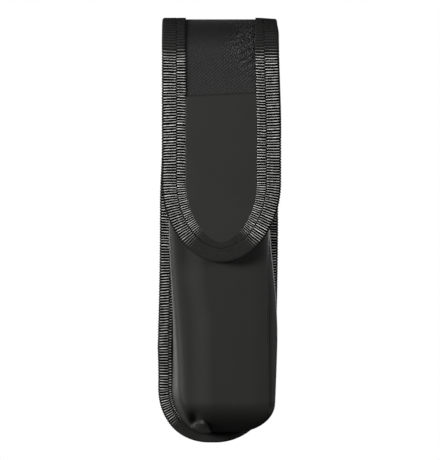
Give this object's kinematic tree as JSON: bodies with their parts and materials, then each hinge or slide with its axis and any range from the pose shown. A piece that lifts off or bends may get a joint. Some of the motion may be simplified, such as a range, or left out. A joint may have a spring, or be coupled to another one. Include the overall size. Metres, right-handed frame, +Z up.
{
  "type": "belt pouch",
  "caption": "Tall slim belt pouch with a moulded pocket, bound edges, a tongue flap over a rounded roof and a press-stud belt strap.",
  "frame": {"origin": "centre of the belt channel between the strap and the back", "axes": "+Z up along the pouch towards its roof, the flap and pocket face -Y, the belt strap is on the +Y side, and +X is along the belt"},
  "size_m": [0.056, 0.0442, 0.2003],
  "materials": {
    "cover_cloth": "black ballistic nylon, satin",
    "board": "stiffening board, sealed inside",
    "foam": "closed-cell foam, sealed inside",
    "lining": "black brushed nylon, matte",
    "moulded_cloth": "black nylon laminate moulded over foam, smooth and matte",
    "tape": "black ribbed nylon binding tape, satin",
    "patch": "black woven nylon, matte",
    "webbing": "black nylon webbing, satin",
    "hook": "black nylon hook tape",
    "loop": "black nylon loop tape",
    "thread": "black bonded nylon thread",
    "stud_metal": "brass, blackened"
  },
  "bodies": {
    "pouch": {"back_cover": "cover_cloth", "back_board": "board", "back_lining": "lining", "back_patch": "patch", "pocket_shell": "moulded_cloth", "pocket_lining": "lining", "edge_binding": "tape", "mouth_binding": "tape", "loop_patch": "loop", "edge_thread": "thread", "mouth_thread": "thread", "anchor_thread": "thread", "strap_anchor": "webbing", "stud_posts": "stud_metal", "stud_washers": "stud_metal"},
    "flap_roof": {"roof_cover": "cover_cloth", "roof_foam": "foam", "roof_lining": "lining", "roof_binding": "tape", "roof_thread": "thread"},
    "flap": {"flap_cover": "cover_cloth", "flap_board": "board", "flap_lining": "lining", "flap_facing": "moulded_cloth", "flap_binding": "tape", "flap_thread": "thread", "hook_patch": "hook"},
    "belt_strap": {"belt_strap": "webbing", "strap_hem": "webbing", "strap_thread": "thread", "stud_caps": "stud_metal", "stud_sockets": "stud_metal"}
  },
  "joints": [
    {"name": "roof_fold", "type": "hinge", "parent": "pouch", "child": "flap_roof", "pos_m": [0, -0.00325, 0.04855], "axis": [-1, 0, 0], "range_deg": [0, 85]},
    {"name": "flap_fold", "type": "hinge", "parent": "flap_roof", "child": "flap", "pos_m": [0, -0.0384, 0.04855], "axis": [-1, 0, 0], "range_deg": [0, 75]},
    {"name": "strap_fold", "type": "hinge", "parent": "pouch", "child": "belt_strap", "pos_m": [0, -0.001, 0.037], "axis": [1, 0, 0], "range_deg": [0, 90]}
  ],
  "couplings": [
    {"joint": "flap_fold", "follows": "roof_fold", "ratio": 0.88}
  ]
}
